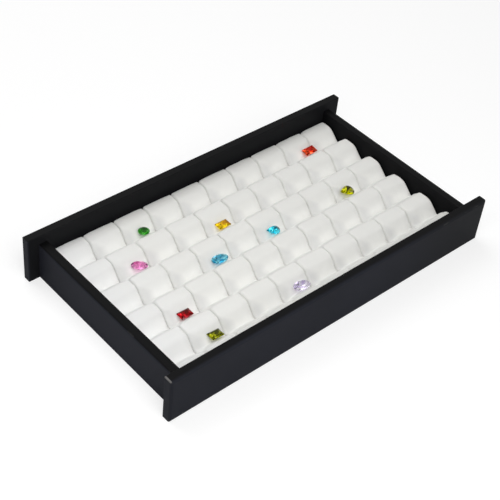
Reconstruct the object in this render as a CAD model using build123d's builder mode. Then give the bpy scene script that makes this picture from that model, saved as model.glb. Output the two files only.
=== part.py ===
"""Gem storage case: a black tray frame, a white padded insert with V seats, and loose cut stones.

The tray stands on the XY plane with its long boards along X, and the origin is at the middle of its
underside. The front is towards -Y. All sizes are in millimetres.
"""
import os
from math import cos, pi, sin

from build123d import *

# Frame boards
tray_length = 370.0          # along the long boards, ear to ear
tray_width = 205.0           # over the outer faces of the long boards
long_board_height = 47.0
long_board_thickness = 9.0
end_board_height = 38.0
end_board_thickness = 9.0
ear_length = 11.0            # long board past the outer face of an end board
outer_edge_radius = 2.4      # rounded edges round the outer faces
inner_edge_radius = 0.6      # eased edges towards the insert

# Base panel, let into rebates
base_thickness = 3.0
rebate_width = 4.0
base_clearance = 0.2

# Corner dowels
dowel_radius = 2.5
dowel_depth_long = 5.5       # into a long board
dowel_depth_end = 18.0       # into an end board
dowel_low_height = 10.0
dowel_high_height = 27.0

# Brads through the base panel
brad_radius = 0.7
brad_grip = 9.0              # into a board, above the panel
brad_head_radius = 1.5
brad_head_height = 0.8
long_side_brad_count = 5
end_side_brad_count = 3
long_side_brad_margin = 13.0  # from an end board to the first brad
end_side_brad_margin = 35.5   # from a long board to the first brad

# Insert
insert_side_gap = 1.5        # between the insert and each board
insert_lift_gap = 0.3        # between the card and the base panel
card_thickness = 2.0
strip_count = 10
strip_gap = 0.5              # slit between neighbouring strips
pad_thickness = 23.3         # from the card to the crown of a pad
pad_crown = 0.5              # rise of a pad's top between its shoulders
seat_count = 5
end_pad_length = 14.2        # from the front or back of a strip to its first seat
seat_depth = 9.0             # from the shoulders to the point of the V
seat_half_width = 10.3       # of the V at the level of the shoulders
seat_floor_radius = 1.0
shoulder_radius = 4.0
pad_end_radius = 3.6         # top edge at the front and back of a strip
pad_side_radius = 2.8        # top edge along a strip's two sides
cover_thickness = 1.5        # soft cover with its thin wadding

# Stones
stone_clearance = 0.25       # between a stone and its seat
girdle_height = 0.45
crown_share = 0.16           # crown height as a share of a stone's width
pavilion_share = 0.38        # pavilion depth as a share of a stone's width
table_share = 0.58           # table size as a share of the outline
culet_share = 0.07
corner_clip = 0.35           # cut corners of the rectangular stones
ellipse_side_count = 16
pear_side_count = 16

# Name, cut, length, width, strip, seat row from the back, place along the strip's width, yaw, tilt
stones = [
    ("green_round_stone", "oval", 10.6, 10.6, 3, 1, 0.9, 0.0, 0.0),
    ("orange_rectangular_stone", "rectangular", 14.2, 8.2, 9, 1, 8.8, 1.0, 12.0),
    ("pink_oval_stone", "oval", 14.8, 10.2, 2, 2, 3.2, -40.0, 0.0),
    ("gold_rectangular_stone", "rectangular", 13.0, 8.4, 5, 2, -0.4, 0.0, 2.0),
    ("blue_oval_stone", "oval", 16.6, 10.6, 4, 3, 0.2, -5.0, 0.0),
    ("cyan_pear_stone", "pear", 12.2, 11.0, 6, 3, -2.1, -30.0, 0.0),
    ("olive_pear_stone", "pear", 14.0, 11.6, 9, 3, -6.4, -15.0, 10.0),
    ("red_rectangular_stone", "rectangular", 12.3, 8.2, 2, 4, -0.7, -1.5, 0.0),
    ("olive_rectangular_stone", "rectangular", 12.0, 9.1, 2, 5, 4.1, -3.0, -5.0),
    ("lilac_oval_stone", "oval", 16.8, 10.9, 5, 5, 3.2, -7.0, -2.0),
]

# How near a corner lies to the height it is looked for at
height_tolerance = 0.01

# Places that follow from the sizes
long_board_y = (tray_width - long_board_thickness) / 2
inner_y = tray_width / 2 - long_board_thickness
end_board_outer_x = tray_length / 2 - ear_length
inner_x = end_board_outer_x - end_board_thickness
end_board_x = inner_x + end_board_thickness / 2
base_half_length = inner_x + rebate_width
base_half_width = inner_y + rebate_width
brad_line_x = inner_x + rebate_width / 2
brad_line_y = inner_y + rebate_width / 2
insert_half_length = inner_x - insert_side_gap
insert_half_width = inner_y - insert_side_gap
card_bottom = base_thickness + insert_lift_gap
pad_bottom = card_bottom + card_thickness
pad_top = pad_bottom + pad_thickness
shoulder_height = pad_top - pad_crown
seat_point_height = shoulder_height - seat_depth
strip_pitch = 2 * insert_half_length / strip_count
strip_width = strip_pitch - strip_gap
flank_slope = seat_depth / seat_half_width
first_seat_y = insert_half_width - end_pad_length - seat_half_width
seat_pitch = 2 * first_seat_y / (seat_count - 1)


def seat_y(row):
    """Centre of a seat row, where row 1 is the one at the back."""
    return ((seat_count + 1) / 2 - row) * seat_pitch


def strip_x(strip):
    """Centre of a strip, where strip 1 is the one on the left."""
    return (strip - (strip_count + 1) / 2) * strip_pitch


def spread(count, reach):
    """Evenly spaced places from minus reach to reach."""
    return [(2 * i / (count - 1) - 1) * reach for i in range(count)]


def finish(builder, name):
    """Label a finished piece and write it."""
    builder.part.label = name
    export_step(builder.part, f"parts/{name}.step")


def brad_places():
    """Brad positions: a row along each board, in the middle of its rebate."""
    places = []
    for side in (-1, 1):
        for x in spread(long_side_brad_count, inner_x - long_side_brad_margin):
            places.append((x, side * brad_line_y))
        for y in spread(end_side_brad_count, inner_y - end_side_brad_margin):
            places.append((side * brad_line_x, y))
    return places


os.makedirs("parts", exist_ok=True)

# Outlines that several pieces share
with BuildSketch(Plane.XY) as base_recess:
    Rectangle(2 * base_half_length, 2 * base_half_width)

with BuildSketch(Plane.XY) as brad_shanks:
    with Locations(*brad_places()):
        Circle(brad_radius)

with BuildSketch(Plane.XY) as brad_heads:
    with Locations(*brad_places()):
        Circle(brad_head_radius)

with BuildSketch(Plane.XZ) as dowel_ends:
    for x in (-end_board_x, end_board_x):
        with Locations((x, dowel_low_height), (x, dowel_high_height)):
            Circle(dowel_radius)

# Dowels of the four corner joints, half in a long board and half in an end board
with BuildPart() as dowels:
    for side in (-1, 1):
        with BuildSketch(Plane.XZ.offset(-side * (inner_y + dowel_depth_long))):
            add(dowel_ends.sketch_local)
        extrude(amount=side * (dowel_depth_long + dowel_depth_end))
finish(dowels, "frame_dowels")

# Long boards: rounded round the outer face, rebated for the base and drilled for the dowels
for name, side in (("front_board", -1), ("back_board", 1)):
    with BuildPart() as board:
        with BuildSketch(Plane.XY):
            with Locations((0, side * long_board_y)):
                Rectangle(tray_length, long_board_thickness)
        extrude(amount=long_board_height)
        outer_face = board.faces().sort_by(Axis.Y)[0 if side < 0 else -1]
        fillet(outer_face.edges(), outer_edge_radius)
        inner_face = board.faces().sort_by(Axis.Y)[-1 if side < 0 else 0]
        fillet(inner_face.edges().sort_by(Axis.Z)[1:], inner_edge_radius)
        extrude(base_recess.sketch, amount=base_thickness, mode=Mode.SUBTRACT)
        extrude(brad_shanks.sketch, amount=base_thickness + brad_grip, mode=Mode.SUBTRACT)
        add(dowels.part, mode=Mode.SUBTRACT)
    finish(board, name)

# End boards: between the long boards, lower than they are
for name, side in (("left_end_board", -1), ("right_end_board", 1)):
    with BuildPart() as board:
        with BuildSketch(Plane.XY):
            with Locations((side * end_board_x, 0)):
                Rectangle(end_board_thickness, 2 * inner_y)
        extrude(amount=end_board_height)
        along_y = board.edges().filter_by(Axis.Y)
        outer_edges = along_y.group_by(Axis.X)[0 if side < 0 else -1]
        fillet(outer_edges.group_by(Axis.Z)[-1], outer_edge_radius)
        inner_edges = board.edges().filter_by(Axis.Y).group_by(Axis.X)[-1 if side < 0 else 0]
        fillet(inner_edges.group_by(Axis.Z)[-1], inner_edge_radius)
        extrude(base_recess.sketch, amount=base_thickness, mode=Mode.SUBTRACT)
        extrude(brad_shanks.sketch, amount=base_thickness + brad_grip, mode=Mode.SUBTRACT)
        add(dowels.part, mode=Mode.SUBTRACT)
    finish(board, name)

# Base panel, flush with the underside of the boards
with BuildPart() as base:
    with BuildSketch(Plane.XY):
        Rectangle(2 * (base_half_length - base_clearance), 2 * (base_half_width - base_clearance))
    extrude(amount=base_thickness)
    extrude(brad_heads.sketch, amount=brad_head_height, mode=Mode.SUBTRACT)
    extrude(brad_shanks.sketch, amount=base_thickness, mode=Mode.SUBTRACT)
finish(base, "base_panel")

# Brads with flat heads let in flush
with BuildPart() as brads:
    extrude(brad_heads.sketch, amount=brad_head_height)
    extrude(brad_shanks.sketch, amount=base_thickness + brad_grip)
finish(brads, "base_brads")

# Card that carries the strips
with BuildPart() as card:
    with BuildSketch(Plane.XY.offset(card_bottom)):
        Rectangle(2 * insert_half_length, 2 * insert_half_width)
    extrude(amount=card_thickness)
finish(card, "insert_card")


def corners_at(profile, height):
    """Corners of a side view at a height, from the front to the back."""
    low, high = height - height_tolerance, height + height_tolerance
    return profile.vertices().filter_by_position(Axis.Y, low, high).sort_by(Axis.X)


def strip_profile():
    """Side view of a strip: crowned pads between V seats, all corners rounded."""
    with BuildSketch() as profile:
        with BuildLine():
            Line((-insert_half_width, pad_bottom), (insert_half_width, pad_bottom))
            Line((insert_half_width, pad_bottom), (insert_half_width, shoulder_height))
            corner = insert_half_width
            for row in range(1, seat_count + 1):
                centre = seat_y(row)
                near_shoulder = centre + seat_half_width
                ThreePointArc(
                    (corner, shoulder_height),
                    ((corner + near_shoulder) / 2, pad_top),
                    (near_shoulder, shoulder_height),
                )
                Line((near_shoulder, shoulder_height), (centre, seat_point_height))
                Line((centre, seat_point_height), (centre - seat_half_width, shoulder_height))
                corner = centre - seat_half_width
            ThreePointArc(
                (corner, shoulder_height),
                ((corner - insert_half_width) / 2, pad_top),
                (-insert_half_width, shoulder_height),
            )
            Line((-insert_half_width, shoulder_height), (-insert_half_width, pad_bottom))
        make_face()
        fillet(corners_at(profile, seat_point_height), seat_floor_radius)
        shoulders = corners_at(profile, shoulder_height)
        fillet([shoulders[0], shoulders[-1]], pad_end_radius)
        fillet(corners_at(profile, shoulder_height), shoulder_radius)
    return profile.sketch


def core_profile():
    """Side view of the foam bar: straight cuts that follow the cover at its thickness."""
    half_width = insert_half_width - cover_thickness
    core_top = shoulder_height - cover_thickness
    # A flank moved in by the cover's thickness keeps its slope
    flank_shift = cover_thickness * (1 + flank_slope**2) ** 0.5
    core_point = seat_point_height - flank_shift
    half_cut = (core_top - core_point) / flank_slope
    points = [(-half_width, pad_bottom), (half_width, pad_bottom), (half_width, core_top)]
    for row in range(1, seat_count + 1):
        centre = seat_y(row)
        points += [(centre + half_cut, core_top), (centre, core_point), (centre - half_cut, core_top)]
    points.append((-half_width, core_top))
    with BuildSketch() as profile:
        Polygon(*points, align=None)
    return profile.sketch


def round_strip_sides(builder, radius):
    """Round the two long sides of a strip, all but the edges on the card."""
    for side_face in (builder.faces().sort_by(Axis.X)[0], builder.faces().sort_by(Axis.X)[-1]):
        fillet(side_face.edges().sort_by(Axis.Z)[1:], radius)


outer_sketch = strip_profile()
core_sketch = core_profile()

for strip in range(1, strip_count + 1):
    centre_x = strip_x(strip)
    core_width = strip_width - 2 * cover_thickness
    with BuildPart() as core:
        with BuildSketch(Plane.YZ.offset(centre_x - core_width / 2)):
            add(core_sketch)
        extrude(amount=core_width)
    finish(core, f"pad_core_{strip:02d}")
    with BuildPart() as cover:
        with BuildSketch(Plane.YZ.offset(centre_x - strip_width / 2)):
            add(outer_sketch)
        extrude(amount=strip_width)
        round_strip_sides(cover, pad_side_radius)
        add(core.part, mode=Mode.SUBTRACT)
    finish(cover, f"pad_cover_{strip:02d}")


def stone_outline(cut, length, width):
    """Outline of a stone at its girdle, as seen from above."""
    if cut == "rectangular":
        x, y = length / 2, width / 2
        inner_x_end, inner_y_end = x - corner_clip, y - corner_clip
        half = [(x, -inner_y_end), (x, inner_y_end), (inner_x_end, y), (-inner_x_end, y)]
        return half + [(-a, -b) for a, b in half]
    if cut == "oval":
        turns = [2 * pi * i / ellipse_side_count for i in range(ellipse_side_count)]
        return [(length / 2 * cos(t), width / 2 * sin(t)) for t in turns]
    # A pear is an ellipse whose width fades to a point on its left: sin(t) cos(t/2) peaks at pear_peak
    pear_peak = 4 / (3 * 3**0.5)
    turns = [2 * pi * i / pear_side_count - pi for i in range(pear_side_count)]
    return [(length / 2 * cos(t), width / 2 * sin(t) * cos(t / 2) / pear_peak) for t in turns]


def scaled(outline, share):
    """The outline, smaller about its middle."""
    return [(share * x, share * y) for x, y in outline]


# Stones: table, crown, girdle and pavilion, each lowered into its seat until it nearly touches
for name, cut, length, width, strip, row, shift, yaw, tilt in stones:
    outline = stone_outline(cut, length, width)
    turned = Plane(Location((0, 0, 0), (tilt, 0, 0)) * Location((0, 0, 0), (0, 0, yaw)))
    girdle_points = [turned.from_local_coords((x, y, 0)) for x, y in outline]
    culet_point = turned.from_local_coords((0, 0, -pavilion_share * width))
    contacts = [abs(p.Y) * flank_slope - p.Z for p in girdle_points + [culet_point]]
    lift = max(contacts) + stone_clearance * (1 + flank_slope**2) ** 0.5
    seat_point = (strip_x(strip) + shift, seat_y(row), seat_point_height)
    girdle = Plane(
        origin=Vector(*seat_point) + Vector(0, 0, lift),
        x_dir=turned.x_dir,
        z_dir=turned.z_dir,
    )
    with BuildPart() as stone:
        with BuildSketch(girdle):
            Polygon(*outline, align=None)
        extrude(amount=girdle_height)
        with BuildSketch(girdle.offset(girdle_height)):
            Polygon(*outline, align=None)
        with BuildSketch(girdle.offset(girdle_height + crown_share * width)):
            Polygon(*scaled(outline, table_share), align=None)
        loft(ruled=True)
        with BuildSketch(girdle):
            Polygon(*outline, align=None)
        with BuildSketch(girdle.offset(-pavilion_share * width)):
            Polygon(*scaled(outline, culet_share), align=None)
        loft(ruled=True)
    finish(stone, name)
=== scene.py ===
import bpy
import numpy as np
from mathutils import Euler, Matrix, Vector


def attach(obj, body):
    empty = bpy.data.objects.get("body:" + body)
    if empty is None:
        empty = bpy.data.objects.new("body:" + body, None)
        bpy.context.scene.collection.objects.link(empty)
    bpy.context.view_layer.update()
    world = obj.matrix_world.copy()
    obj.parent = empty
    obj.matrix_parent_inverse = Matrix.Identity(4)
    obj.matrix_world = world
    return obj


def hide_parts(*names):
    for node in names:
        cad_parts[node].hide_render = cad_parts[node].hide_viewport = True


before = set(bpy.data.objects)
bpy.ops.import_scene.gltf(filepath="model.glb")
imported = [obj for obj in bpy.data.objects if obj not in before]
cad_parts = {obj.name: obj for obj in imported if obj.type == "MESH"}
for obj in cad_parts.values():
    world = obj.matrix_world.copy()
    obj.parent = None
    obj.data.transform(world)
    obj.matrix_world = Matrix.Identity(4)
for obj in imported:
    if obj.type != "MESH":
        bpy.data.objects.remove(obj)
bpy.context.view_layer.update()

scene = bpy.context.scene
scene.view_settings.view_transform = "Standard"

# The camera stands off the tray's front left corner and looks down on it.
# Its place and lens are the ones at which the tray's real size fills the picture as it should.
camera_data = bpy.data.cameras.new("camera")
camera_data.sensor_width = 36
camera_data.lens = 85.507
camera = bpy.data.objects.new("camera", camera_data)
camera.location = (-0.576346, -0.550619, 0.731890)
camera.rotation_euler = Euler(np.radians((47.50628, -4.94740, -41.15406)), "XYZ")
scene.collection.objects.link(camera)
scene.camera = camera


class Wire:
    """A socket in a material's node tree. Arithmetic on it adds Math nodes."""

    def __init__(self, tree, socket=None):
        self.tree = tree
        self.socket = socket

    def node(self, kind, settings=None, values=None, output=0):
        """Adds a node, with its settings set first and then its sockets given values or links."""
        made = self.tree.nodes.new(kind)
        for name, setting in (settings or {}).items():
            setattr(made, name, setting)
        for name, value in (values or {}).items():
            if isinstance(value, Wire):
                self.tree.links.new(value.socket, made.inputs[name])
            else:
                made.inputs[name].default_value = value
        return Wire(self.tree, made.outputs[output])

    def maths(self, operation, first, second=0.0):
        """A Math node on one or two values."""
        return self.node("ShaderNodeMath", {"operation": operation}, {0: first, 1: second})

    def __add__(self, other):
        return self.maths("ADD", self, other)

    def __radd__(self, other):
        return self.maths("ADD", other, self)

    def __sub__(self, other):
        return self.maths("SUBTRACT", self, other)

    def __rsub__(self, other):
        return self.maths("SUBTRACT", other, self)

    def __mul__(self, other):
        return self.maths("MULTIPLY", self, other)

    def __abs__(self):
        return self.maths("ABSOLUTE", self)

    def split(self):
        """The x, y and z of a vector."""
        return [self.node("ShaderNodeSeparateXYZ", None, {0: self}, part) for part in "XYZ"]

    def ramp(self, low, high):
        """0 below low, 1 above high and smooth between them."""
        values = {"Value": self, "From Min": low, "From Max": high}
        return self.node("ShaderNodeMapRange", {"interpolation_type": "SMOOTHSTEP"}, values)

    def noise(self, coordinates, scale, detail=2.0, roughness=0.5):
        """Cloudy noise between 0 and 1, with about scale clouds to the metre."""
        values = {"Vector": coordinates, "Scale": scale, "Detail": detail, "Roughness": roughness}
        return self.node("ShaderNodeTexNoise", None, values)

    def stretched(self, scale):
        """Coordinates scaled differently along x, y and z."""
        return self.node("ShaderNodeMapping", None, {"Vector": self, "Scale": scale})

    def bump(self, strength, distance):
        """The normals of a surface that has this height."""
        values = {"Height": self, "Strength": strength, "Distance": distance}
        return self.node("ShaderNodeBump", None, values)

    def blend(self, factor, first, second):
        """The first colour where factor is 0 and the second where it is 1."""
        return self.node("ShaderNodeMix", {"data_type": "RGBA"}, {0: factor, 6: first, 7: second}, 2)


def finish_named(name, **constants):
    """A new material with a Principled shader that has these constants on its own sockets.

    With it come a wire to build on, the piece's own coordinates, and a function that links wires
    to the shader's sockets.
    """
    material = bpy.data.materials.new(name)
    material.use_nodes = True
    tree = material.node_tree
    shader = tree.nodes["Principled BSDF"]
    for socket, value in constants.items():
        shader.inputs[socket.replace("_", " ")].default_value = value
    wire = Wire(tree)
    place = wire.node("ShaderNodeTexCoord", output="Object")

    def link(**wires):
        for socket, value in wires.items():
            tree.links.new(value.socket, shader.inputs[socket.replace("_", " ")])

    return material, wire, place, link


# The table is a wide pale sheet, and the room round it is white but gives little light.
# Broad lamps in front and behind give the soft light, and a small one close by lights the left end.
# To the camera the table is a darker paper that glows, so that it comes out white with a soft shadow.
table_size = 9.0
seen_paper = 0.44
seen_glow = 0.64
room_light = 0.10
table_mesh = bpy.data.meshes.new("table")
table_corners = np.array([(-1, -1, 0), (1, -1, 0), (1, 1, 0), (-1, 1, 0)]) * table_size / 2
table_mesh.from_pydata(table_corners.tolist(), [], [(0, 1, 2, 3)])
table = bpy.data.objects.new("table", table_mesh)
scene.collection.objects.link(table)

table_finish, wire, place, link = finish_named(
    "pale_table", Roughness=0.9, Specular_IOR_Level=0.0, Emission_Strength=1.0
)
seen = wire.node("ShaderNodeLightPath", output="Is Camera Ray")
paper = wire.noise(place, 40.0, 3.0).ramp(0.3, 0.7)
sheet = wire.blend(paper, (0.88, 0.88, 0.88, 1), (0.90, 0.90, 0.90, 1))
link(Base_Color=wire.blend(seen, sheet, (seen_paper, seen_paper, seen_paper, 1)))
link(Emission_Color=wire.blend(seen, (0, 0, 0, 1), (seen_glow, seen_glow, seen_glow, 1)))
table_mesh.materials.append(table_finish)

room = bpy.data.worlds.new("white_room")
room.use_nodes = True
scene.world = room
air = Wire(room.node_tree)
to_camera = air.node("ShaderNodeLightPath", output="Is Camera Ray")
to_gloss = air.node("ShaderNodeLightPath", output="Is Glossy Ray")
to_glass = air.node("ShaderNodeLightPath", output="Is Transmission Ray")
shown = air.maths("MAXIMUM", to_camera, air.maths("MAXIMUM", to_gloss, to_glass))
background = room.node_tree.nodes["Background"]
background.inputs["Color"].default_value = (1, 1, 1, 1)
room.node_tree.links.new((shown * (1 - room_light) + room_light).socket, background.inputs["Strength"])


def lamp(name, spot, size, power, aim=(0, 0, 0.02)):
    """A square lamp at a spot, turned to the point that it aims at."""
    data = bpy.data.lights.new(name, "AREA")
    data.size = size
    data.energy = power
    made = bpy.data.objects.new(name, data)
    made.location = spot
    made.rotation_euler = (Vector(spot) - Vector(aim)).to_track_quat("Z", "Y").to_euler()
    scene.collection.objects.link(made)


lamp("lamp_front", (0.00, -1.15, 1.35), 1.4, 14.3)
lamp("lamp_back", (0.00, 1.20, 1.30), 1.4, 8.0)
lamp("lamp_back_high", (0.00, 0.75, 1.60), 1.2, 6.6)
lamp("lamp_near", (-0.36, -0.24, 0.55), 0.3, 1.2, (-0.16, -0.08, 0))


# The frame is four boards in matt black lacquer over sanded wood.
# The outer faces are painted a lighter charcoal, as painted light from the pale table. The tops and inner
# faces are blacker, with the tops painted darker and the inner faces lighter, as painted shade and light.
# The long boards run past the end boards as short ears, and all edges are eased and slightly rubbed.
half_length = 0.185
half_width = 0.1025
tray_height = 0.047
end_board_face = 0.174
edge_reach = 0.0022
top_reach = 0.0034
# Reach and place of the painted highlight on the front left ear's top end edge
highlight_reach = 0.0016
highlight_from = 0.0930


def lacquer(name, grain_scale, outer_faces, blacker_top, inner_tone, outer_tone):
    """Black lacquer: broad cloudiness, faint grain along the board, fine orange peel, rubbed edges.

    How far the surface turns between two faces is 1 - max(|nx|, |ny|, |nz|). A point is on an outer
    face, given as an axis, a distance and a reach, as its own distance on that axis nears the face's.
    The tops are painted blackest and the inner faces lighter, as painted shade and light, and past
    blacker_top, a range of y, the charcoal doesn't reach them. The charcoal is painted light on the
    outer faces, and it grows darker and less blue towards the right end as painted shade. A pale
    strip along the top edge of the front left ear's end is a painted highlight.
    """
    material, wire, place, link = finish_named(name, Specular_IOR_Level=0.06)
    broad = wire.noise(place, 14.0, 3.0)
    grain = wire.noise(place.stretched(grain_scale), 1.0, 4.0, 0.6)
    peel = wire.noise(place, 1100.0, 1.0)
    nx, ny, nz = [abs(part) for part in wire.node("ShaderNodeTexCoord", output="Normal").split()]
    flat = wire.maths("MAXIMUM", wire.maths("MAXIMUM", nx, ny), nz)
    edge = (1 - flat).ramp(0.04, 0.26)
    patches = wire.noise(place, 75.0, 4.0, 0.65).ramp(0.56, 0.70)
    rubbed = edge * patches
    spot = x, y, z = place.split()
    # The tops are painted darker and the inner faces lighter below, as painted shade and light
    top = nz.ramp(0.45, 0.85)
    outside = sum(abs(spot[axis]).ramp(face - reach, face) for axis, face, reach in outer_faces)
    outside = wire.maths("MINIMUM", outside, 1.0) * (1 - top * y.ramp(*blacker_top))
    # Painted highlight: a pale strip along the top edge of the front left ear's end
    off_edge = abs(x + half_length) + abs(z - tray_height)
    painted_highlight = (highlight_reach - off_edge).ramp(0.0, 0.0008) * (-highlight_from - y).ramp(0.0, 0.0010)
    inner, outer = inner_tone * np.array([0.92, 0.95, 1.06]), outer_tone * np.array([0.91, 0.97, 1.30])
    black = wire.blend(top, (*inner * 1.8, 1), (*inner * 0.5, 1))
    black = wire.blend(broad.ramp(0.3, 0.7) * 0.25, black, (*inner * 0.5, 1))
    # The charcoal on the outer faces is painted light from the pale table
    charcoal_painted_light = wire.blend(broad.ramp(0.3, 0.7), (*outer * 0.91, 1), (*outer * 1.09, 1))
    # Towards the right end the charcoal is painted darker and less blue, as painted shade
    shaded_charcoal = outer * np.array([0.80, 0.78, 0.66])
    charcoal_painted_light = wire.blend(x.ramp(0.02, 0.18), charcoal_painted_light, (*shaded_charcoal, 1))
    paint = wire.blend(outside, black, charcoal_painted_light)
    paint = wire.blend(rubbed * 0.45, paint, (0.050, 0.048, 0.046, 1))
    link(Base_Color=wire.blend(painted_highlight, paint, (0.150, 0.146, 0.142, 1)))
    link(Roughness=0.54 + broad * 0.08 + rubbed * 0.1)
    link(Normal=(peel * 0.35 + grain * 0.65).bump(0.25, 0.0002))
    return material


def dress(node, material):
    """Gives a CAD piece its material."""
    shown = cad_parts[node]
    shown.data.materials.clear()
    shown.data.materials.append(material)


long_faces = [(1, half_width, top_reach), (0, half_length, edge_reach)]
end_faces = [(0, end_board_face, edge_reach)]
long_grain, end_grain = (8.0, 160.0, 160.0), (160.0, 8.0, 160.0)
long_lacquer = lacquer("lacquer_long_boards", long_grain, long_faces, (-0.02, 0.02), 0.0056, 0.0198)
end_lacquer = lacquer("lacquer_end_boards", end_grain, end_faces, (-0.20, -0.15), 0.0040, 0.0220)
dress("front_board", long_lacquer)
dress("back_board", long_lacquer)
dress("left_end_board", end_lacquer)
dress("right_end_board", end_lacquer)

# The base is a panel of black hardboard, let into rebates and pinned from below.
hardboard, wire, place, link = finish_named("black_hardboard", Specular_IOR_Level=0.2)
fibres = wire.noise(place, 420.0, 5.0, 0.7)
blotches = wire.noise(place, 18.0, 3.0)
tone = (fibres * 0.6 + blotches * 0.4).ramp(0.35, 0.65)
link(Base_Color=wire.blend(tone, (0.010, 0.009, 0.008, 1), (0.022, 0.020, 0.018, 1)))
link(Roughness=0.62 + fibres * 0.2)
link(Normal=fibres.bump(0.4, 0.0002))
dress("base_panel", hardboard)

# Beech dowels hold the corners, glued half in a long board and half in an end board.
beech, wire, place, link = finish_named("beech_dowel", Specular_IOR_Level=0.3)
rays = wire.noise(place.stretched((900.0, 40.0, 900.0)), 1.0, 4.0)
link(Base_Color=wire.blend(rays.ramp(0.35, 0.65), (0.52, 0.36, 0.20, 1), (0.68, 0.50, 0.31, 1)))
link(Roughness=0.55 + rays * 0.2)
dress("frame_dowels", beech)

# Steel brads pin the base panel, their flat heads flush with its underside.
steel, wire, place, link = finish_named("bright_steel", Metallic=1.0)
scuffs = wire.noise(place, 1500.0, 3.0)
link(Base_Color=wire.blend(scuffs, (0.46, 0.46, 0.47, 1), (0.62, 0.62, 0.62, 1)))
link(Roughness=0.28 + scuffs * 0.25)
dress("base_brads", steel)

# A sheet of grey board carries the pads, which are glued to it side by side.
card_finish, wire, place, link = finish_named("grey_board", Specular_IOR_Level=0.2)
pulp = wire.noise(place, 700.0, 5.0, 0.7)
flecks = wire.noise(place, 2600.0, 1.0).ramp(0.62, 0.70)
grey = wire.blend(pulp.ramp(0.3, 0.7), (0.36, 0.35, 0.33, 1), (0.46, 0.45, 0.42, 1))
link(Base_Color=wire.blend(flecks * 0.5, grey, (0.14, 0.13, 0.12, 1)))
link(Roughness=0.8 + pulp * 0.15)
link(Normal=pulp.bump(0.4, 0.00015))
dress("insert_card", card_finish)

# Each pad is a bar of foam with five V seats, in a soft matt white cover over thin wadding.
# The cover is wrapped round the bar and glued below it, and it is slack at the foot of each V.
# Painted shade greys the front-facing flanks right of each seam, in wedges that widen down the V.
pad_count = 10
pad_pitch = 0.0327
pad_width = 0.0322
pad_half_length = 0.092
pad_foot = 0.0053
spine_half_length = 0.086
shoulder_height = 0.0281
end_radius = 0.0036
seat_count = 5
seat_pitch = 0.03375
seat_half_width = 0.0103
seat_depth = 0.009
crown_rise = 0.0005
crown_radius = 0.024
side_radius = 0.0021
side_points = 7
top_points = 23
tuck_start = 0.0075
tuck_depth = 0.0030
outer_tuck_share = 0.25
wrinkle_height = 0.00015
wave_count = 14
shortest_wave = 0.005
longest_wave = 0.016
# Reach of the painted shade that greys the grooves between the pads
seam_shade_start = 0.001
seam_shade_growth = 0.018
seam_shade_limit = 0.012
seam_shade_fade = 0.6
point_spacing = 0.0008

# The corners of a seat's line, each as its way back from the seat's middle, its depth below the
# shoulders and its radius
seat_corners = [
    (-seat_half_width, 0.0, 0.0034),
    (-0.0052, 0.0052, 0.0240),
    (-0.0010, seat_depth + 0.0014, 0.0006),
    (0.0046, 0.00505, 0.0240),
    (seat_half_width + 0.0004, 0.0001, 0.0100),
]


def softened(corners, radii, steps=12):
    """Rounds every corner of a line but its two ends.

    From the tangent points a and b, corner c becomes (1-t)^2 a + 2 t (1-t) c + t^2 b.
    """
    corner = corners[1:-1]
    back = corners[:-2] - corner
    ahead = corners[2:] - corner
    back /= np.linalg.norm(back, axis=1)[:, None]
    ahead /= np.linalg.norm(ahead, axis=1)[:, None]
    half_angle = np.arccos(np.sum(back * ahead, axis=1)) / 2
    reach = (radii / np.tan(half_angle))[:, None]
    t = np.linspace(0, 1, steps)[None, :, None]
    a = (corner + back * reach)[:, None]
    b = (corner + ahead * reach)[:, None]
    curve = (1 - t) ** 2 * a + 2 * t * (1 - t) * corner[:, None] + t**2 * b
    return np.concatenate([corners[:1], curve.reshape(-1, 2), corners[-1:]])


def evenly(line, spacing):
    """The line again as points an even step apart, by its running length."""
    run = np.append(0, np.cumsum(np.linalg.norm(np.diff(line, axis=0), axis=1)))
    even = np.linspace(0, run[-1], int(run[-1] / spacing) + 1)
    return np.stack([np.interp(even, run, line[:, i]) for i in range(2)], axis=1)


def pad_side_view():
    """The pad's outline from the front foot over the seats to the back foot, as (y, z).

    Each flank bows out and is steepest at the foot of the V. The front flank of a crown leaves it
    gently, and the back one is drawn tighter and turns sharply.
    """
    seats = (np.arange(seat_count) - (seat_count - 1) / 2) * seat_pitch
    front, back = seats - seat_half_width, seats + seat_half_width
    crowns = (np.append(-pad_half_length, back) + np.append(front, pad_half_length)) / 2
    points = [(y, shoulder_height + crown_rise, crown_radius) for y in crowns]
    for way, depth, radius in seat_corners:
        points += [(y, shoulder_height - depth, radius) for y in seats + way]
    points = np.array(sorted(points))
    ends = np.array([(pad_half_length, shoulder_height, end_radius)])
    feet = np.array([(pad_half_length, pad_foot, 0.0)])
    mirror = np.array([-1, 1, 1])
    points = np.concatenate([feet * mirror, ends * mirror, points, ends, feet])
    return evenly(softened(points[:, :2], points[1:-1, 2]), point_spacing)


def wrinkles(number, run, across):
    """Shallow wrinkles in a cover, by the running length and the distance across.

    The sum of waves sin(k . p + phase) over the square root of their count, with their directions,
    phases and lengths drawn from the pad's own number.
    """
    draw = np.random.default_rng(number)
    total = 0 * run[:, None] * across[None, :]
    least, most = (0, 0, shortest_wave), (np.pi, 2 * np.pi, longest_wave)
    for turn, phase, length in draw.uniform(least, most, (wave_count, 3)):
        share = run[:, None] * np.cos(turn) + across[None, :] * np.sin(turn)
        total = total + np.sin(2 * np.pi * share / length + phase)
    return total / wave_count**0.5


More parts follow.
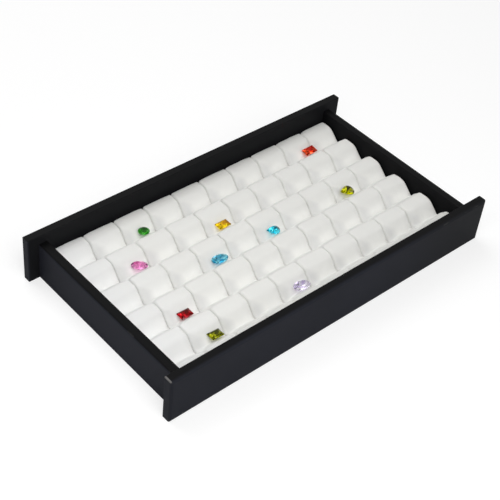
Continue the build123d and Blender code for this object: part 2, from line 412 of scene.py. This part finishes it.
def pad_mesh(number):
    """A pad: the side view carried across the strip, with how much painted shade each point has.

    A point is side + inward * inset, where inset is r (1 - cos a) round the edge, plus a tuck
    d v^0.6 t^2, less the wrinkles. Here v is the depth in the seat as a share, and t goes from 0 at
    tuck_start off the middle to 1 at the seam. The two outer strips are tucked less on their free
    side. Past the edge the side wall runs straight down to a spine along the foot.

    The painted shade reaches s + g v^0.8 from the seam on the left, up to a limit, and fades out over the
    last share of its reach. It thins right at the seam, grows with v and lies on the flanks that
    face the front. The first pad has none.
    """
    side = pad_side_view()
    along = np.gradient(side, axis=0)
    run = np.cumsum(np.linalg.norm(along, axis=1))
    along /= np.linalg.norm(along, axis=1)[:, None]
    inward = np.stack([along[:, 1], -along[:, 0]], axis=1)
    flat = pad_width / 2 - side_radius
    turn = np.linspace(0, np.pi / 2, side_points)[1:]
    top = np.linspace(-flat, flat, top_points)
    edge_x = flat + side_radius * np.sin(turn)
    edge_inset = side_radius * (1 - np.cos(turn))
    sink = np.array([0.12, 0.3, 0.55, 0.8, 1.0])
    wall_x = edge_x[-1:].repeat(len(sink))
    wall_inset = edge_inset[-1:].repeat(len(sink))
    across = np.concatenate([-wall_x, -edge_x[::-1], top, edge_x, wall_x])
    inset = np.concatenate([wall_inset, edge_inset[::-1], 0 * top, edge_inset, wall_inset])
    sinking = np.concatenate([sink[::-1], 0 * turn, 0 * top, 0 * turn, sink])
    depth = np.clip((shoulder_height - side[:, 1]) / seat_depth, 0, 1)[:, None]
    near_seam = np.clip((abs(across) - tuck_start) / (pad_width / 2 - tuck_start), 0, 1)[None, :]
    outermost = (number == 1) * (across < 0) + (number == pad_count) * (across > 0)
    near_seam = near_seam * (1 - (1 - outer_tuck_share) * outermost)
    inset = inset[None, :] + tuck_depth * depth**0.6 * near_seam**2
    slack = wrinkle_height * (0.35 + 0.65 * np.maximum(depth, near_seam))
    inset = inset - slack * wrinkles(number, run, across)
    # The painted seam shade: grey wedges right of each seam on the front-facing flanks
    reach = np.minimum(seam_shade_start + seam_shade_growth * depth**0.8, seam_shade_limit)
    from_seam = across[None, :] + pad_width / 2
    seam_shade = np.clip((reach - from_seam) / (seam_shade_fade * reach), 0, 1)
    seam_shade = seam_shade * np.clip(0.4 + 300 * from_seam, 0, 1) * np.clip(0.3 + 1.2 * depth, 0, 1)
    seam_shade = seam_shade * np.clip(0.5 + along[:, 1:], 0, 1) * (number > 1)
    spine_y = np.clip(side[:, 0], -spine_half_length, spine_half_length)
    spine = np.stack([spine_y, 0 * spine_y + pad_foot], axis=1)
    yz = side[:, None] + inward[:, None] * inset[:, :, None]
    yz = yz + (spine[:, None] - yz) * sinking[None, :, None]
    middle = (number - (pad_count + 1) / 2) * pad_pitch
    x = np.broadcast_to(middle + across[None, :], yz.shape[:2])
    points = np.concatenate([x[..., None], yz], axis=2)
    rows, columns = points.shape[:2]
    index = np.arange(rows * columns).reshape(rows, columns)
    ahead = np.roll(index, -1, axis=1)
    quads = np.stack([index[:-1], index[1:], ahead[1:], ahead[:-1]], axis=-1).reshape(-1, 4)
    return points, quads, index, seam_shade


def as_object(name, points, faces, smooth=True):
    """A mesh object at the origin with these points and faces."""
    mesh = bpy.data.meshes.new(name)
    mesh.from_pydata(points.reshape(-1, 3).tolist(), [], faces)
    if smooth:
        mesh.shade_smooth()
    else:
        mesh.shade_flat()
    made = bpy.data.objects.new(name, mesh)
    scene.collection.objects.link(made)
    return made


cover_finish, wire, place, link = finish_named(
    "white_cover", Specular_IOR_Level=0.25, Sheen_Weight=0.12, Sheen_Roughness=0.6
)
nap = wire.noise(place, 1700.0, 3.0, 0.6)
broad = wire.noise(place, 30.0, 3.0)
creases = wire.noise(place, 160.0, 4.0, 0.6)
x, _, z = place.split()
# Painted shade: the crowns are painted a little darker than the seats
crown_shade = (z + broad * 0.002).ramp(0.0200, 0.0285)
# The cover is whiter and less yellow towards the left end
yellower_rightwards = (x + broad * 0.02).ramp(-0.16, -0.07)
whiter = wire.blend(crown_shade, (0.900, 0.900, 0.894, 1), (0.845, 0.845, 0.838, 1))
yellower = wire.blend(crown_shade, (0.900, 0.898, 0.868, 1), (0.845, 0.843, 0.811, 1))
white = wire.blend(yellower_rightwards, whiter, yellower)
# Painted shade greys the front-facing flanks right of each seam
seam_shaded = wire.node("ShaderNodeAttribute", {"attribute_name": "seam_shade"}, output="Fac")
white = wire.blend(seam_shaded * (0.8 + broad * 0.4), white, (0.740, 0.740, 0.728, 1))
link(Base_Color=wire.blend(nap * 0.12, white, (0.70, 0.70, 0.68, 1)))
link(Roughness=0.75 + nap * 0.15)
link(Normal=(nap * 0.35 + creases * 0.65).bump(0.35, 0.0004))

for number in range(1, pad_count + 1):
    points, quads, index, seam_shade = pad_mesh(number)
    caps = [index[0].tolist(), index[-1, ::-1].tolist()]
    pad = as_object(f"pad_{number:02d}", points, quads.tolist() + caps)
    pad.data.attributes.new("seam_shade", "FLOAT", "POINT").data.foreach_set("value", seam_shade.ravel())
    pad.data.materials.append(cover_finish)
    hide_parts(f"pad_core_{number:02d}", f"pad_cover_{number:02d}")
    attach(pad, "insert")

# The loose stones are cut glass: a table, a crown, a thin girdle and a pavilion, all polished.
# Each lies table up in its seat, held by the two flanks of the V.
stone_clearance = 0.00025
girdle_height = 0.00045
crown_share = 0.16
pavilion_share = 0.38
table_share = 0.58
kite_share = 0.79
kite_height = 0.56
deep_share = 0.52
deep_height = 0.62
corner_clip = 0.00035
flank_slope = seat_depth / seat_half_width
girdle_turns = np.arange(16) * np.pi / 8


def lie_in_seat(points, outline, width, strip, row, shift, yaw, tilt):
    """Turns a stone, and sets it down in its seat with a small clearance.

    The least height that keeps a point over the seat's line is |y| slope - z.
    """
    turned = np.array(Euler((tilt, 0, 0)).to_matrix() @ Euler((0, 0, yaw)).to_matrix())
    rim = np.concatenate([outline, np.zeros((len(outline), 1))], axis=1)
    rim = np.concatenate([rim, [(0, 0, -pavilion_share * width)]]) @ turned.T
    lift = np.max(np.abs(rim[:, 1]) * flank_slope - rim[:, 2])
    lift += stone_clearance * (1 + flank_slope**2) ** 0.5
    x = (strip - (pad_count + 1) / 2) * pad_pitch + shift
    y = ((seat_count + 1) / 2 - row) * seat_pitch
    return points @ turned.T + np.array([x, y, shoulder_height - seat_depth + lift])


def brilliant(outline_at, width):
    """A brilliant cut on an outline: kites, stars and halves between rings of 8 and 16 points.

    A ring is share * outline(angle) at a height; the middle rings are half a step round.
    """
    step = np.arange(8) * np.pi / 4

    def ring(turns, share, height):
        return np.concatenate([outline_at(turns) * share, np.full((len(turns), 1), height)], axis=1)

    top = girdle_height
    rings = [
        ring(step, table_share, top + crown_share * width),
        ring(step + np.pi / 8, kite_share, top + crown_share * width * kite_height),
        ring(girdle_turns, 1.0, top),
        ring(girdle_turns, 1.0, 0.0),
        ring(step + np.pi / 8, deep_share, -pavilion_share * width * deep_height),
        np.array([(0, 0, -pavilion_share * width)]),
    ]
    table, middle, upper, lower, deep, culet = np.cumsum([0] + [len(r) for r in rings[:-1]])
    k = np.arange(8)
    n, before = (k + 1) % 8, (k - 1) % 8
    j = np.arange(16)
    faces = [(table + k).tolist()]
    faces += np.stack([table + k, middle + k, table + n], 1).tolist()
    faces += np.stack([table + k, middle + before, upper + 2 * k, middle + k], 1).tolist()
    faces += np.stack([middle + k, upper + 2 * k, upper + 2 * k + 1], 1).tolist()
    faces += np.stack([middle + k, upper + 2 * k + 1, upper + 2 * n], 1).tolist()
    faces += np.stack([upper + j, lower + j, lower + (j + 1) % 16, upper + (j + 1) % 16], 1).tolist()
    faces += np.stack([lower + 2 * k, deep + before, culet + 0 * k, deep + k], 1).tolist()
    faces += np.stack([lower + 2 * k, deep + k, lower + 2 * k + 1], 1).tolist()
    faces += np.stack([lower + 2 * k + 1, deep + k, lower + 2 * n], 1).tolist()
    return np.concatenate(rings), faces


def clipped_rectangle(length, width, clip):
    """Eight corners of a rectangle with its corners clipped, anticlockwise from the right."""
    x, y = length / 2, width / 2
    half = np.array([(x, clip - y), (x, y - clip), (x - clip, y), (clip - x, y)])
    return np.concatenate([half, -half])


def step_cut(length, width):
    """A step cut: clipped rectangles at falling shares from the table to the girdle and the culet.

    The pavilion's corners are clipped more than the girdle's, so that its ridges form a cross.
    """
    shares = np.array([table_share, 0.80, 1.0, 1.0, 0.60, 0.05])
    clips = np.array([0.12, 0.08, 0.0, 0.0, 0.26, 0.04]) * width + corner_clip * shares
    drops = np.array([crown_share, crown_share * 0.6, 0, 0, -pavilion_share * 0.45, -pavilion_share])
    heights = drops * width + np.array([1, 1, 1, 0, 0, 0]) * girdle_height
    rings = [clipped_rectangle(length * share, width * share, clip) for share, clip in zip(shares, clips)]
    points = np.concatenate([np.array(rings), np.broadcast_to(heights[:, None, None], (6, 8, 1))], 2)
    index = np.arange(48).reshape(6, 8)
    ahead = np.roll(index, -1, axis=1)
    sides = np.stack([index[:-1], index[1:], ahead[1:], ahead[:-1]], -1).reshape(-1, 4)
    return points.reshape(-1, 3), [index[0].tolist()] + sides.tolist() + [index[-1, ::-1].tolist()]


def oval_outline(length, width):
    """An ellipse by its angle."""
    return lambda turns: np.stack([length / 2 * np.cos(turns), width / 2 * np.sin(turns)], 1)


def pear_outline(length, width):
    """A pear by its angle: y = w/2 sin(t) cos(t/2) / peak, which fades to a point on the left."""
    peak = 4 / (3 * 3**0.5)

    def at(turns):
        turns = (turns + np.pi) % (2 * np.pi) - np.pi
        across = width / 2 * np.sin(turns) * np.cos(turns / 2) / peak
        return np.stack([length / 2 * np.cos(turns), across], 1)

    return at


def painted_facet_light(points, faces, cross, painted_light_side):
    """How light each facet's colour is, from 0 to 1, as painted light and shade.

    With c the facet's middle as a share of the stone's reach, a its angle and d the way to the
    bright side, tone = 0.5 + 0.5 (c . d) + 0.34 sin(5 a + 0.7). On a step cut the facets at the
    corners are darkened and the others slightly lightened in place of the sine.
    """
    middles = np.array([points[face].mean(axis=0) for face in faces])[:, :2]
    share = middles / np.abs(points[:, :2]).max(axis=0)
    if cross:
        ripple = np.where(np.abs(share).min(axis=1) > 0.12, -0.40, 0.06)
    else:
        ripple = 0.34 * np.sin(5 * np.arctan2(share[:, 1], share[:, 0]) + 0.7)
    towards = np.array([np.cos(painted_light_side), np.sin(painted_light_side)])
    return np.clip(0.5 + 0.5 * (share @ towards) + ripple, 0, 1)


def stone_finish(name, deep, light):
    """Clear dyed glass, painted deep to light by its facets as painted shade and light, and palest on the
    brightest as painted glints, with a slight drift.

    Its shine is dyed too, because on so small a stone most of the shine comes from within.
    """
    material, wire, place, link = finish_named(
        name, Transmission_Weight=1.0, IOR=1.6, Specular_Tint=(*(0.9 * channel for channel in light), 1)
    )
    tone = wire.node("ShaderNodeAttribute", {"attribute_name": "tone"}, output="Fac")
    drift = wire.noise(place, 260.0, 2.0)
    tone = tone + drift * 0.3 - 0.15
    painted_glint = tuple(0.62 * channel + 0.33 for channel in light)
    # Painted light and shade: the tone paints each facet from deep to light, and the palest facets are
    # painted glints
    dye = wire.blend(tone.ramp(0.12, 0.72), (*deep, 1), (*light, 1))
    link(Base_Color=wire.blend(tone.ramp(0.70, 0.92), dye, (*painted_glint, 1)))
    link(Roughness=0.01 + drift * 0.02)
    return material


# Name and cut, length and width in millimetres, strip from the left, row from the back, shift along
# the row in millimetres, then in degrees the yaw, the tilt and the direction of the painted light's
# side, then the deep and the light colour
stones = [
    ("green_round", "oval", 10.6, 10.6, 3, 1, 0.9, 0, 0, -75, (0.0, 0.035, 0.0), (0.06, 0.46, 0.03)),
    ("orange_rectangular", "step", 14.2, 8.2, 9, 1, 8.8, 1, 12, -70, (0.50, 0.001, 0.0), (0.95, 0.10, 0.02)),
    ("pink_oval", "oval", 14.8, 10.2, 2, 2, 3.2, -40, 0, -50, (0.60, 0.07, 0.34), (1.0, 0.50, 0.80)),
    ("gold_rectangular", "step", 13.0, 8.4, 5, 2, -0.4, 0, 2, 180, (0.56, 0.28, 0.0), (1.0, 0.76, 0.02)),
    ("blue_oval", "oval", 16.6, 10.6, 4, 3, 0.2, -5, 0, 20, (0.0, 0.09, 0.28), (0.26, 0.90, 1.0)),
    ("cyan_pear", "pear", 12.2, 11.0, 6, 3, -2.1, -30, 0, -70, (0.0, 0.10, 0.20), (0.04, 0.74, 0.88)),
    ("olive_pear", "pear", 14.0, 11.6, 9, 3, -6.4, -15, 10, -70, (0.008, 0.008, 0.0), (0.50, 0.50, 0.0)),
    ("red_rectangular", "step", 12.3, 8.2, 2, 4, -0.7, -1.5, 0, -70, (0.06, 0.0, 0.0), (0.66, 0.004, 0.010)),
    ("olive_rectangular", "step", 12.0, 9.1, 2, 5, 4.1, -3, -5, -70, (0.015, 0.018, 0.0), (0.46, 0.48, 0.0)),
    ("lilac_oval", "oval", 16.8, 10.9, 5, 5, 3.2, -7, -2, -60, (0.42, 0.32, 0.62), (0.93, 0.90, 0.98)),
]
for name, cut, length, width, strip, row, shift, yaw, tilt, painted_light_side, deep, light in stones:
    length, width, shift = length / 1000, width / 1000, shift / 1000
    if cut == "step":
        outline = clipped_rectangle(length, width, corner_clip)
        points, faces = step_cut(length, width)
    else:
        outline_at = pear_outline(length, width) if cut == "pear" else oval_outline(length, width)
        outline = outline_at(girdle_turns)
        points, faces = brilliant(outline_at, width)
    yaw, tilt, painted_light_side = np.radians((yaw, tilt, painted_light_side))
    # Each facet's tone is painted light and shade, lighter towards the painted light's side
    tone = painted_facet_light(points, faces, cut == "step", painted_light_side - yaw)
    points = lie_in_seat(points, outline, width, strip, row, shift, yaw, tilt)
    stone = as_object(f"{name}_cut", points, faces, smooth=False)
    stone.data.attributes.new("tone", "FLOAT", "FACE").data.foreach_set("value", tone)
    stone.data.materials.append(stone_finish(f"{name}_glass", deep, light))
    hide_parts(f"{name}_stone")
    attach(stone, name)
